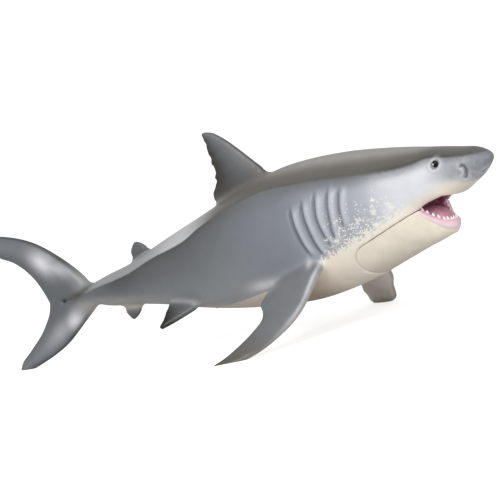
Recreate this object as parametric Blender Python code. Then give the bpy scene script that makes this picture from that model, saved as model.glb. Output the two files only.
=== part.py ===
"""Toy shark figurine with a hinged lower jaw, standing on its two pectoral fin tips and its lower tail tip.

Every table is in millimetres in the shark's own frame: x forward, y to its left, z up, level with its spine.
The finished meshes are in metres, pitched nose up so that the three fin tips stand on the ground plane.
"""
import math

import bpy

for old in list(bpy.data.objects):
    bpy.data.objects.remove(old, do_unlink=True)

# Standing pose
MM = 0.001
NOSE_UP = math.radians(7.5)      # pitch of the spine when the three fin tips touch the ground
LIFT = 32.55                     # height of the spine's origin above the ground
MIDDLE = -10.1                   # shift that puts the middle of the whole length over the origin
GAP = 0.3                        # clearance between the jaw and the body

# Trunk and head: x, top, bottom, height of the greatest width, half width, roundness above, roundness below
TRUNK = [
    (-81.0, 1.4, -1.4, 0.0, 1.2, 2.0, 2.0),
    (-74.5, 1.6, -3.4, 0.0, 3.0, 2.0, 2.0),
    (-68.0, 1.8, -5.8, -0.2, 4.2, 1.9, 1.9),
    (-60.0, 2.9, -8.1, -0.6, 5.0, 2.0, 2.0),
    (-51.0, 3.9, -9.8, -1.2, 6.2, 2.0, 2.0),
    (-41.0, 6.1, -12.4, -1.7, 7.9, 2.0, 2.0),
    (-30.0, 8.5, -16.0, -2.4, 10.2, 2.0, 2.0),
    (-18.0, 10.9, -19.4, -2.9, 12.7, 2.0, 2.0),
    (-4.0, 13.8, -22.5, -3.3, 15.2, 2.0, 2.0),
    (8.0, 16.2, -24.5, -3.5, 16.6, 2.0, 2.0),
    (20.0, 17.4, -25.6, -3.5, 17.3, 2.0, 2.1),
    (32.0, 17.0, -25.2, -3.3, 17.3, 2.0, 2.15),
    (45.0, 15.4, -23.6, -2.6, 16.3, 2.05, 2.2),
    (55.5, 13.3, -21.6, -1.8, 14.6, 2.1, 2.3),
    (62.5, 11.7, -20.3, -1.4, 13.0, 2.1, 2.4),
    (68.0, 10.3, -11.2, -1.2, 11.8, 2.1, 2.8),
    (72.0, 9.2, -8.4, -1.0, 10.8, 2.1, 3.0),
    (78.5, 7.5, -7.9, -0.7, 9.1, 2.1, 2.8),
    (85.0, 5.7, -5.9, -0.3, 7.2, 2.1, 2.4),
    (89.5, 4.6, -4.2, 0.1, 5.6, 2.1, 2.2),
    (94.6, 3.3, -2.4, 0.4, 4.0, 2.0, 2.0),
]
NOSE_ROUND = 7.0                 # length over which the nose closes

# Throat and lower jaw, same columns: its rear rows lie just inside the trunk's skin
JAW = [
    (40.0, 15.6, -24.3, -2.9, 16.6, 2.05, 2.2),
    (45.0, 15.3, -23.5, -2.6, 16.2, 2.05, 2.2),
    (55.5, 13.1, -21.5, -1.8, 14.5, 2.1, 2.3),
    (62.5, 11.5, -20.2, -1.4, 12.9, 2.1, 2.4),
    (66.0, 10.5, -19.7, -1.4, 11.6, 2.1, 2.4),
    (68.5, 10.0, -19.3, -1.4, 9.5, 2.1, 2.4),
    (70.6, 9.0, -18.9, -1.7, 7.0, 2.1, 2.4),
    (72.4, 8.0, -18.6, -2.0, 5.5, 2.1, 2.4),
    (74.4, 7.0, -18.5, -3.0, 4.2, 2.1, 2.4),
    (76.8, 6.0, -18.2, -4.5, 3.1, 2.1, 2.4),
]
CHIN_ROUND = 3.5

# Jaw hinge and the outline of the jaw seen from the side
HINGE_X = 49.6
HINGE_Z = -19.3
HEEL_R = 6.0                     # the jaw's heel is a cylinder about the hinge
CORNER_X = 68.7                  # mouth corner
CORNER_Z = -8.5
RIM = [(69.6, -10.1), (70.6, -11.5), (72.4, -13.5), (75.0, -14.7), (80.0, -15.0)]
LIP = [(70.6, -7.8), (73.0, -7.6), (76.0, -7.8), (80.5, -8.0)]
JAW_OPEN = math.radians(22.0)    # room left behind the hinge for the opening jaw

# Throat core between the jaw's side walls, with a snap boss on each side
CORE_HALF = 4.2
CORE_BOTTOM = 1.2                # below the hinge axis
CORE_RISE = 0.16                 # slope of its underside ahead of the hinge, along the throat
CORE_FRONT = 7.4                 # ahead of the hinge axis
SLOT_FRONT = 0.4                 # clearance ahead of the core in the jaw's slot
CORE_TOP = -7.0
BOSS_R = 1.0
BOSS_LONG = 1.6
HEEL_FLOOR = 1.5                 # inside of the jaw's bottom wall, below the hinge axis

# Hollow of the lower jaw, from its floor up: height, half width, front end
BASIN = [(-16.3, 3.4, 69.4), (-15.6, 4.8, 71.6), (-14.0, 5.6, 73.0), (-11.0, 6.3, 73.7), (-4.0, 6.9, 74.3)]
BASIN_STRAIGHT = 5.6             # length of its straight sides ahead of the core's slot

# Mouth cavity in the head
PALATE = (65.5, -8.0)            # middle x and z
PALATE_SIZE = (12.4, 8.2, 6.8)   # half length, half width, half height

# Fins: leading edge, trailing edge, both from root to tip, then thicknesses from root to tip
DORSAL = (
    [(18.5, 0, 13), (13.8, 0, 17.6), (10.3, 0, 21.6), (6.4, 0, 26.4), (1.9, 0, 31.5), (-2.2, 0, 34.9),
     (-5.7, 0, 36.0)],
    [(-8.0, 0, 11.0), (-10.4, 0, 14.9), (-7.4, 0, 19.3), (-6.1, 0, 23.4), (-6.3, 0, 28.0), (-6.2, 0, 32.5),
     (-6.5, 0, 35.3)],
    (4.8, 3.4, 2.4, 1.4))
SECOND = (
    [(-39.8, 0, 4.6), (-41.7, 0, 7.2), (-43.9, 0, 9.3), (-45.8, 0, 10.2)],
    [(-49.2, 0, 2.6), (-49.5, 0, 5.7), (-48.5, 0, 8.4), (-46.8, 0, 9.9)],
    (2.6, 1.9, 1.1))
ANAL = (
    [(-49.0, 0, -8.6), (-52.0, 0, -11.1), (-54.4, 0, -12.9), (-56.4, 0, -13.7)],
    [(-59.0, 0, -6.4), (-59.2, 0, -9.3), (-58.6, 0, -11.6), (-57.3, 0, -13.4)],
    (2.6, 1.9, 1.1))
TAIL_TOP = (
    [(-68.0, 0, 0.2), (-73.3, 0, 7.8), (-79.4, 0, 14.3), (-85.9, 0, 19.8), (-92.7, 0, 23.6), (-100.1, 0, 26.3),
     (-106.5, 0, 27.5), (-111.0, 0, 28.0)],
    [(-88.4, 0, -0.8), (-89.5, 0, 3.6), (-91.4, 0, 8.5), (-94.4, 0, 12.9), (-98.2, 0, 16.5), (-102.9, 0, 19.2),
     (-107.0, 0, 22.9), (-110.8, 0, 27.2)],
    (6.4, 4.8, 3.6, 2.8, 1.6))
TAIL_LOW = (
    [(-67.5, 0, -5.0), (-73.6, 0, -7.9), (-79.8, 0, -11.3), (-86.2, 0, -14.6), (-92.7, 0, -16.8),
     (-99.1, 0, -18.3), (-104.9, 0, -19.3), (-108.9, 0, -19.7)],
    [(-88.4, 0, 0.3), (-90.2, 0, -3.2), (-93.1, 0, -6.2), (-96.5, 0, -9.1), (-101.2, 0, -12.0),
     (-105.0, 0, -14.2), (-108.0, 0, -15.9), (-110.0, 0, -18.2)],
    (6.4, 4.8, 3.6, 2.8, 1.6))
PECTORAL = (
    [(36.0, 11.0, -11.0), (32.5, 18.5, -17.5), (29.6, 23.0, -22.8), (27.4, 27.0, -26.4), (23.8, 30.7, -29.5),
     (19.7, 36.4, -32.3), (15.7, 41.2, -33.9), (10.5, 43.8, -34.7), (4.9, 46.1, -34.2)],
    [(13.5, 9.0, -13.2), (9.3, 16.5, -19.1), (9.0, 20.0, -21.2), (11.5, 23.5, -23.4), (13.2, 28.0, -25.6),
     (11.0, 31.7, -28.1), (8.6, 36.5, -30.4), (5.9, 41.0, -32.3), (3.9, 45.7, -33.5)],
    (6.8, 4.6, 3.8, 2.8, 1.7))
PELVIC = (
    [(-19.5, 3.5, -13.5), (-23.8, 8.0, -15.9), (-28.9, 12.0, -17.6), (-32.6, 14.6, -18.6), (-34.6, 15.6, -19.0)],
    [(-36.5, 3.0, -9.5), (-35.6, 6.5, -12.0), (-34.9, 10.0, -14.0), (-34.6, 13.3, -16.2), (-35.6, 15.4, -18.2)],
    (3.4, 2.5, 1.2))

# Gill grooves: x and z of the top, middle and low end on the skin
GILLS = [
    (28.5, 4.4, 28.2, -2.8, 30.0, -10.8),
    (32.9, 5.4, 32.4, -3.0, 34.4, -12.4),
    (38.0, 6.8, 36.8, -1.0, 38.0, -8.8),
    (43.0, 6.8, 41.6, -1.0, 40.9, -8.2),
    (47.2, 5.8, 45.8, 0.8, 45.4, -4.6),
]
GILL_WIDE = 0.45                 # half width at the skin
GILL_DEEP = 0.7
NOSTRIL = (86.6, 0.8, 88.0, -1.2, 86.4, -3.2)
EYE_X = 79.0
EYE_Z = 3.4
EYE_R = 1.15

# Teeth: half length and half width of the upper arch, number, height; the rows end short of the mouth corners
UPPER_SWEEP = 60                 # degrees to each side
UPPER_TEETH = (13.4, 8.8, 16, 1.3)
LOWER_START = 69.6               # rear end of the lower row
LOWER_INSET = 0.9                # from the jaw's skin at its rim
LOWER_TEETH = (16, 1.7)


def spline(rows, x, col):
    """Smooth value of one column at x."""
    last = len(rows) - 2
    i = 0
    while i < last and rows[i + 1][0] < x:
        i += 1
    x0, x1 = rows[i][0], rows[i + 1][0]
    a, b = rows[i][col], rows[i + 1][col]
    t = (x - x0) / (x1 - x0)
    ma = (b - rows[i - 1][col]) / (x1 - rows[i - 1][0]) * (x1 - x0) if i > 0 else b - a
    mb = (rows[i + 2][col] - a) / (rows[i + 2][0] - x0) * (x1 - x0) if i < last else b - a
    return ((2 * t**3 - 3 * t**2 + 1) * a + (t**3 - 2 * t**2 + t) * ma
            + (3 * t**2 - 2 * t**3) * b + (t**3 - t**2) * mb)


def along(points, t):
    """Smooth point on an edge, t from 0 at its start to 1 at its end."""
    n = len(points) - 1
    i = min(int(t * n), n - 1)
    u = t * n - i
    four = [points[max(i - 1, 0)], points[i], points[i + 1], points[min(i + 2, n)]]
    return tuple(0.5 * (2 * b + (c - a) * u + (2 * a - 5 * b + 4 * c - d) * u * u
                        + (3 * b - a - 3 * c + d) * u**3) for a, b, c, d in zip(*four))


def side(rows, x, z):
    """Half width of the skin at x and height z."""
    top, bottom, mid, half, above, below = [spline(rows, x, k) for k in range(1, 7)]
    reach = top - mid if z > mid else mid - bottom
    power = above if z > mid else below
    return half * max(0.0, 1 - (abs(z - mid) / reach) ** power) ** (1 / power)


def underside(rows, x, y):
    """Height of the skin's lower side at x and y."""
    bottom, mid, half, power = [spline(rows, x, k) for k in (2, 3, 4, 6)]
    return mid - (mid - bottom) * max(0.0, 1 - (abs(y) / half) ** power) ** (1 / power)


def minus(a, b):
    return tuple(p - q for p, q in zip(a, b))


def cross(a, b):
    return (a[1] * b[2] - a[2] * b[1], a[2] * b[0] - a[0] * b[2], a[0] * b[1] - a[1] * b[0])


def unit(a):
    size = math.sqrt(sum(p * p for p in a))
    return tuple(p / size for p in a)


def skin(rings):
    """Closed surface through rings of equal count."""
    count = len(rings[0])
    verts = [p for ring in rings for p in ring]
    faces = []
    for j in range(len(rings) - 1):
        for i in range(count):
            k = (i + 1) % count
            a, b = j * count, (j + 1) * count
            faces.append((a + i, a + k, b + k, b + i))
    faces.append(tuple(range(count - 1, -1, -1)))
    faces.append(tuple((len(rings) - 1) * count + i for i in range(count)))
    return verts, faces


def loft(rows, close, along_count, round_count):
    """Rounded sections through the rows, closing to a blunt end over the last stretch."""
    first, end = rows[0][0], rows[-1][0]
    rings = []
    for j in range(along_count + 1):
        x = first + (end - 0.03 - first) * (1 - (1 - j / along_count) ** 1.5)
        top, bottom, mid, half, above, below = [spline(rows, x, k) for k in range(1, 7)]
        shrink = math.sqrt(1 - max(0.0, (x - end + close) / close) ** 2)
        ring = []
        for i in range(round_count):
            a = 2 * math.pi * (i + 0.5) / round_count
            c, s = math.cos(a), math.sin(a)
            power = above if s > 0 else below
            reach = top - mid if s > 0 else mid - bottom
            ring.append((x, shrink * half * math.copysign(abs(c) ** (2 / power), c),
                         mid + shrink * reach * math.copysign(abs(s) ** (2 / power), s)))
        rings.append(ring)
    return skin(rings)


def fin(lead, trail, thick, mirror=1, steps=12, half_count=6):
    """Blade between two edges, fullest behind its leading edge."""
    rings = []
    for j in range(steps + 1):
        s = j / steps
        front, back = along(lead, s), along(trail, s)
        low, high = max(s - 0.03, 0), min(s + 0.03, 1)
        span = minus(tuple(p + q for p, q in zip(along(lead, high), along(trail, high))),
                     tuple(p + q for p, q in zip(along(lead, low), along(trail, low))))
        chord = minus(front, back)
        normal = unit(cross(chord, span))
        half = along([(v,) for v in thick], s)[0] / 2
        ring = []
        for i in range(2 * half_count):
            a = 2 * math.pi * (i + 0.5) / (2 * half_count)
            c = (1 + math.cos(a)) / 2
            h = half * math.sin(a) * (0.66 + 0.54 * c)
            p = tuple(b + q * c + m * h for b, q, m in zip(back, chord, normal))
            ring.append((p[0], p[1] * mirror, p[2]))
        rings.append(ring)
    return skin(rings)


def prism(outline, half):
    """Side-view outline carried across from -half to half."""
    return skin([[(x, -half, z) for x, z in outline], [(x, half, z) for x, z in outline]])


def upright(outline, low, high):
    """Top-view outline carried from low to high."""
    return skin([[(x, y, low) for x, y in outline], [(x, y, high) for x, y in outline]])


def rod(x, z, radius, y0, y1, count=20):
    ends = []
    for y in (y0, y1):
        ends.append([(x + radius * math.cos(2 * math.pi * i / count), y,
                      z + radius * math.sin(2 * math.pi * i / count)) for i in range(count)])
    return skin(ends)


def ball(centre, size, rows=10, count=20):
    """Ellipsoid with half sizes along x, y and z."""
    rings = []
    for j in range(1, rows):
        b = math.pi * j / rows
        rings.append([(centre[0] + size[0] * math.sin(b) * math.cos(2 * math.pi * i / count),
                       centre[1] + size[1] * math.sin(b) * math.sin(2 * math.pi * i / count),
                       centre[2] - size[2] * math.cos(b)) for i in range(count)])
    return skin(rings)


def groove(path, hand):
    """Wedge along the skin: top, middle and low end give its path."""
    x0, z0, x1, z1, x2, z2 = path
    rings = []
    steps = 8
    for j in range(steps + 1):
        t = j / steps
        x = (1 - t) ** 2 * x0 + 2 * t * (1 - t) * (2 * x1 - (x0 + x2) / 2) + t * t * x2
        z = (1 - t) ** 2 * z0 + 2 * t * (1 - t) * (2 * z1 - (z0 + z2) / 2) + t * t * z2
        size = 0.35 + 0.65 * math.sin(math.pi * t)
        y = side(TRUNK, x, z)
        wide = 2.2 * GILL_WIDE * size
        deep = GILL_DEEP * size
        rings.append([(x - wide, hand * (y + deep), z), (x, hand * (y - deep), z),
                      (x + wide, hand * (y + deep), z)])
    return skin(rings)


def tooth(x, y, z, height, lean):
    """Small cone, tip up for a height above zero, leaning out from the middle of the mouth."""
    base, tip = [], []
    for i in range(6):
        a = 2 * math.pi * (i + 0.27) / 6
        base.append((x + 0.5 * math.cos(a), y + 0.5 * math.sin(a), z - math.copysign(0.5, height)))
        tip.append((x + lean[0] + 0.08 * math.cos(a), y + lean[1] + 0.08 * math.sin(a), z + height))
    return skin([base, tip])


def several(shapes):
    verts, faces = [], []
    for v, f in shapes:
        base = len(verts)
        verts += v
        faces += [tuple(k + base for k in face) for face in f]
    return verts, faces


def stand(p):
    """From the shark's own frame in millimetres to the standing pose in metres."""
    c, s = math.cos(NOSE_UP), math.sin(NOSE_UP)
    return ((p[0] * c - p[2] * s - MIDDLE) * MM, p[1] * MM, (p[0] * s + p[2] * c + LIFT) * MM)


def material(name, colour, roughness):
    mat = bpy.data.materials.new(name)
    mat.use_nodes = True
    shader = mat.node_tree.nodes["Principled BSDF"]
    shader.inputs["Base Color"].default_value = (*colour, 1.0)
    shader.inputs["Roughness"].default_value = roughness
    mat.diffuse_color = (*colour, 1.0)
    return mat


def volume(verts, faces):
    total = 0.0
    for face in faces:
        for i in range(1, len(face) - 1):
            a, b, c = verts[face[0]], verts[face[i]], verts[face[i + 1]]
            total += sum(p * q for p, q in zip(a, cross(b, c)))
    return total


def place(name, shape, mat=None, pivot=(0.0, 0.0, 0.0), pose=stand):
    """Object from closed shells, with its origin at the pivot."""
    verts, faces = shape
    points = [minus(pose(v), pivot) for v in verts]
    mesh = bpy.data.meshes.new(name)
    mesh.from_pydata(points, [], faces)
    mesh.update()
    for poly in mesh.polygons:
        poly.use_smooth = True
    obj = bpy.data.objects.new(name, mesh)
    obj.location = pivot
    bpy.context.scene.collection.objects.link(obj)
    if mat:
        mesh.materials.append(mat)
    else:
        obj.hide_render = True
        obj.display_type = 'WIRE'
    return obj


def outward(shape):
    verts, faces = shape
    if volume(verts, faces) < 0:
        faces = [tuple(reversed(face)) for face in faces]
    return verts, faces


def level(p):
    """Millimetres in the standing frame to metres."""
    return tuple(q * MM for q in p)


def combine(target, name, shapes, operation, pose=stand):
    """Adds, cuts or keeps closed shells with one Boolean."""
    cutter = place(name, several([outward(s) for s in shapes]), pose=pose)
    mod = target.modifiers.new(name, 'BOOLEAN')
    mod.operation = operation
    mod.solver = 'EXACT'
    mod.object = cutter


def seam(grow, front):
    """Side outline of the jaw, grown by the clearance: round heel, straight seam, then the given mouth line."""
    run = (CORNER_X - HINGE_X, CORNER_Z - HINGE_Z)
    reach = math.hypot(*run)
    start = math.atan2(run[1], run[0]) + math.acos(HEEL_R / reach)
    radius = HEEL_R + grow
    up = (math.cos(start) * grow, math.sin(start) * grow)
    outline = []
    for i in range(15):
        a = start + math.radians(150) * (1 - i / 14)
        outline.append((HINGE_X + radius * math.cos(a), HINGE_Z + radius * math.sin(a)))
    outline.append((CORNER_X + up[0], CORNER_Z + up[1]))
    outline += front
    outline.append((front[-1][0] + 2, -30.0))
    outline.append((outline[0][0], -30.0))
    return outline


def height_on(line, x):
    """Height at x of a line that starts at the mouth corner."""
    line = [(CORNER_X, CORNER_Z)] + line
    for (x0, z0), (x1, z1) in zip(line, line[1:]):
        if x <= x1:
            return z0 + (z1 - z0) * max(x - x0, 0) / (x1 - x0)
    return line[-1][1]


def rim_side(x):
    """Half width of the jaw's skin at its rim."""
    shrink = math.sqrt(max(0.01, 1 - max(0.0, (x - JAW[-1][0] + CHIN_ROUND) / CHIN_ROUND) ** 2))
    mid = spline(JAW, x, 3)
    return shrink * side(JAW, x, mid + (height_on(RIM, x) - mid) / shrink)


def rim_row(count):
    """Points at equal steps around the jaw's rim, set in from the skin, with their outward directions."""
    line = []
    x = LOWER_START
    while rim_side(x) > 0:
        line.append((x, rim_side(x)))
        x += 0.05
    line += [(x, -y) for x, y in reversed(line)]
    total = sum(math.dist(a, b) for a, b in zip(line, line[1:]))
    row = []
    walked = 0.0
    for a, b in zip(line, line[1:]):
        step = math.dist(a, b)
        walked += step
        while len(row) < count and walked >= total * len(row) / (count - 1) - 0.001:
            out = ((a[1] - b[1]) / step, (b[0] - a[0]) / step)
            row.append((a[0] - LOWER_INSET * out[0], a[1] - LOWER_INSET * out[1], out))
    return row


grey = material("body_paint", (0.24, 0.27, 0.31), 0.42)
cream = material("jaw_paint", (0.72, 0.66, 0.55), 0.42)

# Body: trunk and head with every fin
body = place("body", outward(loft(TRUNK, NOSE_ROUND, 46, 36)), grey)
combine(body, "middle_fins", [fin(*DORSAL), fin(*SECOND, steps=6, half_count=5),
                              fin(*ANAL, steps=6, half_count=5)], 'UNION')
combine(body, "tail_top", [fin(*TAIL_TOP)], 'UNION')
combine(body, "tail_low", [fin(*TAIL_LOW)], 'UNION')
combine(body, "paired_fins", [fin(*PECTORAL, mirror=hand) for hand in (1, -1)]
        + [fin(*PELVIC, mirror=hand, steps=7, half_count=5) for hand in (1, -1)], 'UNION')

# Room for the jaw, and the mouth cavity
combine(body, "jaw_room", [prism(seam(GAP, LIP), 25.0)], 'DIFFERENCE')
combine(body, "palate", [ball((PALATE[0], 0.0, PALATE[1]), PALATE_SIZE)], 'DIFFERENCE')

# Throat core: its underside rises behind the hinge so that the opening jaw clears it
back = HEEL_R + 1.5
core = [(HINGE_X - back, HINGE_Z - CORE_BOTTOM + back * math.tan(JAW_OPEN)),
        (HINGE_X - 0.4, HINGE_Z - CORE_BOTTOM),
        (HINGE_X + CORE_FRONT, HINGE_Z - CORE_BOTTOM + CORE_FRONT * CORE_RISE),
        (HINGE_X + CORE_FRONT, CORE_TOP), (HINGE_X - back, CORE_TOP)]
combine(body, "throat_core", [prism(core, CORE_HALF)], 'UNION')
combine(body, "snap_bosses", [rod(HINGE_X, HINGE_Z, BOSS_R, -CORE_HALF - BOSS_LONG, CORE_HALF + BOSS_LONG)],
        'UNION')

# Skin details
combine(body, "gill_grooves", [groove(path, hand) for path in GILLS for hand in (1, -1)], 'DIFFERENCE')
combine(body, "nostrils", [groove(NOSTRIL, hand) for hand in (1, -1)], 'DIFFERENCE')
eye_y = side(TRUNK, EYE_X, EYE_Z) - 0.35 * EYE_R
combine(body, "eyes", [ball((EYE_X, hand * eye_y, EYE_Z), (EYE_R, EYE_R * 0.8, EYE_R), 8, 14)
                       for hand in (1, -1)], 'UNION')
half_length, half_width, count, height = UPPER_TEETH
teeth = []
for i in range(count):
    turn = math.radians(UPPER_SWEEP) * (2 * i / (count - 1) - 1)
    x = PALATE[0] + half_length * math.cos(turn)
    y = half_width * math.sin(turn)
    low = max(height_on(LIP, x), underside(TRUNK, x, y))
    teeth.append(tooth(x, y, low + 0.3, -height, (0.0, 0.0)))
combine(body, "upper_teeth", teeth, 'UNION')

# Flat soles on the three fin tips
combine(body, "ground", [upright([(-130, -70), (130, -70), (130, 70), (-130, 70)], -20, 0)], 'DIFFERENCE',
        pose=level)

# Lower jaw, hung on the snap bosses, with its origin on the hinge axis
pivot = stand((HINGE_X, 0.0, HINGE_Z))
jaw = place("lower_jaw", outward(loft(JAW, CHIN_ROUND, 26, 34)), cream, pivot)
combine(jaw, "jaw_outline", [prism(seam(0.0, RIM), 25.0)], 'INTERSECT')
count, height = LOWER_TEETH
teeth = []
for x, y, out in rim_row(count):
    teeth.append(tooth(x, y, height_on(RIM, x), height, (0.3 * out[0], 0.3 * out[1])))
combine(jaw, "lower_teeth", teeth, 'UNION')
slot_front = CORE_FRONT + SLOT_FRONT
slot = [(HINGE_X - 12, HINGE_Z - HEEL_FLOOR), (HINGE_X, HINGE_Z - HEEL_FLOOR),
        (HINGE_X + slot_front, HINGE_Z - HEEL_FLOOR + slot_front * CORE_RISE),
        (HINGE_X + slot_front, 0.0), (HINGE_X - 12, 0.0)]
combine(jaw, "core_slot", [prism(slot, CORE_HALF + GAP)], 'DIFFERENCE')
basin = []
basin_back = HINGE_X + slot_front - 0.2
basin_middle = basin_back + BASIN_STRAIGHT
for z, half, front in BASIN:
    ring = [(basin_back, -half, z)]
    for i in range(17):
        a = math.pi * (i / 16 - 0.5)
        ring.append((basin_middle + (front - basin_middle) * math.cos(a), half * math.sin(a), z))
    ring.append((basin_back, half, z))
    basin.append(ring)
combine(jaw, "mouth_basin", [skin(basin)], 'DIFFERENCE')
combine(jaw, "boss_holes", [rod(HINGE_X, HINGE_Z, BOSS_R + GAP, -CORE_HALF - BOSS_LONG - GAP,
                                CORE_HALF + BOSS_LONG + GAP)], 'DIFFERENCE')
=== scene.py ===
"""Looks of the shark figurine: a painted soft plastic shark with a hinged lower jaw, on a plain pale floor.

Shapes are worked out in millimetres in the shark's own frame: x forward, y to its left, z up, level with
its spine. They are then pitched nose up and set down on the three fin tips, in metres, where the CAD solids
stand.
"""
import math

import bpy
import numpy as np
from mathutils import Matrix, Vector
from mathutils.bvhtree import BVHTree


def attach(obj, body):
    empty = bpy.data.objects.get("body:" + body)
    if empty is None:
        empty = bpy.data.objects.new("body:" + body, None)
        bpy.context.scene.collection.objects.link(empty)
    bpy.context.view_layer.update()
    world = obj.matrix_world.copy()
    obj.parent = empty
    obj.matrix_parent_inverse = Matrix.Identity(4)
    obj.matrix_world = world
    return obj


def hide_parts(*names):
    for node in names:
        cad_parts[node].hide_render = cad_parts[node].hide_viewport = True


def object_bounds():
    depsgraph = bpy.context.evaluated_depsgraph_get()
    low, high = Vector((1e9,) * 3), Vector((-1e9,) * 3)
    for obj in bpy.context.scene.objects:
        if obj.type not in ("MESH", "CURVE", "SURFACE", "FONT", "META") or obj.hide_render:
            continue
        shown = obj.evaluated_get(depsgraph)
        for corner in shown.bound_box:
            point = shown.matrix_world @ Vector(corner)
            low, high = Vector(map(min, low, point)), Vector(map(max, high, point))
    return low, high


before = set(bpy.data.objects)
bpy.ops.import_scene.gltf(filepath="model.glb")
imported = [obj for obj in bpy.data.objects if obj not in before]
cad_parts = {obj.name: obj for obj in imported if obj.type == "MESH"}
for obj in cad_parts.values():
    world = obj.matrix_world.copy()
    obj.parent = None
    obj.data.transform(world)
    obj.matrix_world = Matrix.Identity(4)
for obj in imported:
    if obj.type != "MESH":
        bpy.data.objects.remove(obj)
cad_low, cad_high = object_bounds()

MM = 0.001
NOSE_UP = math.radians(7.5)      # pitch of the spine in the standing pose
LIFT = 32.55                     # height of the spine's origin above the floor
MIDDLE = -10.1                   # shift that puts the middle of the whole length over the origin
GAP = 0.3                        # clearance between the jaw and the body
WIDE = 25.0                      # half width of a cut that goes right through
BODY_TRIANGLES = 190000          # most triangles that the body keeps

# Trunk and head: x, top, bottom, height of the greatest width, half width, roundness above, roundness below
TRUNK = np.array([
    (-81, 1.4, -1.4, 0, 1.2, 2, 2),
    (-74.5, 1.6, -3.4, 0, 3, 2, 2),
    (-68, 1.8, -5.8, -0.2, 4.2, 1.9, 1.9),
    (-60, 2.9, -8.1, -0.6, 5, 2, 2),
    (-51, 3.9, -9.8, -1.2, 6.2, 2, 2),
    (-41, 6.1, -12.4, -1.7, 7.9, 2, 2),
    (-30, 8.5, -16, -2.4, 10.2, 2, 2),
    (-18, 10.9, -19.4, -2.9, 12.7, 2, 2),
    (-4, 13.8, -22.5, -3.3, 15.2, 2, 2),
    (8, 16.2, -24.5, -3.5, 16.6, 2, 2),
    (20, 17.4, -25.6, -3.5, 17.3, 2, 2.1),
    (32, 17, -25.2, -3.3, 17.3, 2, 2.15),
    (45, 15.4, -23.6, -2.6, 16.3, 2.05, 2.2),
    (55.5, 13.3, -21.6, -1.8, 14.6, 2.1, 2.3),
    (62.5, 11.7, -20.3, -1.4, 13, 2.1, 2.4),
    (68, 10.3, -11.2, -1.2, 11.8, 2.1, 2.8),
    (72, 9.2, -8.4, -1, 10.8, 2.1, 3),
    (78.5, 7.5, -7.9, -0.7, 9.1, 2.1, 2.8),
    (85, 5.7, -5.9, -0.3, 7.2, 2.1, 2.4),
    (89.5, 4.6, -4.2, 0.1, 5.6, 2.1, 2.2),
    (94.6, 3.3, -2.4, 0.4, 4, 2, 2),
])
NOSE_ROUND = 7.0

# Throat and lower jaw, same columns
JAW = np.array([
    (40, 15.6, -24.3, -2.9, 16.6, 2.05, 2.2),
    (45, 15.3, -23.5, -2.6, 16.2, 2.05, 2.2),
    (55.5, 13.1, -21.5, -1.8, 14.5, 2.1, 2.3),
    (62.5, 11.5, -20.2, -1.4, 12.9, 2.1, 2.4),
    (66, 10.5, -19.7, -1.4, 11.6, 2.1, 2.4),
    (68.5, 10, -19.3, -1.4, 9.5, 2.1, 2.4),
    (70.6, 9, -18.9, -1.7, 7, 2.1, 2.4),
    (72.4, 8, -18.6, -2, 5.5, 2.1, 2.4),
    (74.4, 7, -18.5, -3, 4.2, 2.1, 2.4),
    (76.8, 6, -18.2, -4.5, 3.1, 2.1, 2.4),
])
CHIN_ROUND = 3.5

# Jaw hinge and the outline of the jaw seen from the side
HINGE_X = 49.6
HINGE_Z = -19.3
HEEL_R = 6.0
CORNER_X = 68.7
CORNER_Z = -8.5
RIM = [(69.6, -10.1), (70.6, -11.5), (72.4, -13.5), (75, -14.7), (80, -15)]
RIM_END = [(84, -15.2), (84, 20)]      # closes the cut above the rim, ahead of the jaw
LIP = [(70.6, -7.5), (72.6, -7), (74.4, -6.7), (77, -6.4), (79, -7), (80.5, -8)]
LIP_END = [(82, -9), (82, -24), (60, -24)]      # closes the cut below the lip, around the jaw
LIP_ROOM = 1.0                   # how far the jaw's room stays below the lip
JAW_OPEN = math.radians(22)

# Throat core between the jaw's side walls, with a snap boss on each side
CORE_HALF = 4.2
CORE_BOTTOM = 1.2
CORE_RISE = 0.16
CORE_FRONT = 7.4
SLOT_FRONT = 0.4
CORE_TOP = -7.0
BOSS_R = 1.0
BOSS_LONG = 1.6
HEEL_FLOOR = 1.5

# Hollow of the lower jaw, from its floor up: height, half width, front end
BASIN = [(-16.3, 3.4, 69.4), (-15.6, 4.8, 71.6), (-14, 5.6, 73), (-11, 6.3, 73.7), (-4, 6.9, 74.3)]
BASIN_STRAIGHT = 5.6

# Mouth cavity in the head and the tongue on the jaw's floor: centre and half sizes
PALATE = (65.5, 0, -8)
PALATE_SIZE = (12.4, 8.2, 6.8)
TONGUE = (66, 0, -12.9)
TONGUE_SIZE = (8, 6, 4.6)

# Fins: leading edge, trailing edge, both from root to tip, then thicknesses from root to tip
DORSAL = (
    [(18.5, 0, 13), (13.8, 0, 17.6), (10.3, 0, 21.6), (6.4, 0, 26.4), (1.9, 0, 31.5), (-2.2, 0, 34.9),
     (-5.7, 0, 36)],
    [(-8, 0, 11), (-10.4, 0, 14.9), (-7.4, 0, 19.3), (-6.1, 0, 23.4), (-6.3, 0, 28), (-6.2, 0, 32.5),
     (-6.5, 0, 35.3)],
    (4.8, 3.4, 2.4, 1.4))
SECOND = (
    [(-39.8, 0, 4.6), (-41.7, 0, 7.2), (-43.9, 0, 9.3), (-45.8, 0, 10.2)],
    [(-49.2, 0, 2.6), (-49.5, 0, 5.7), (-48.5, 0, 8.4), (-46.8, 0, 9.9)],
    (2.6, 1.9, 1.1))
ANAL = (
    [(-49, 0, -8.6), (-52, 0, -11.1), (-54.4, 0, -12.9), (-56.4, 0, -13.7)],
    [(-59, 0, -6.4), (-59.2, 0, -9.3), (-58.6, 0, -11.6), (-57.3, 0, -13.4)],
    (2.6, 1.9, 1.1))
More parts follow.
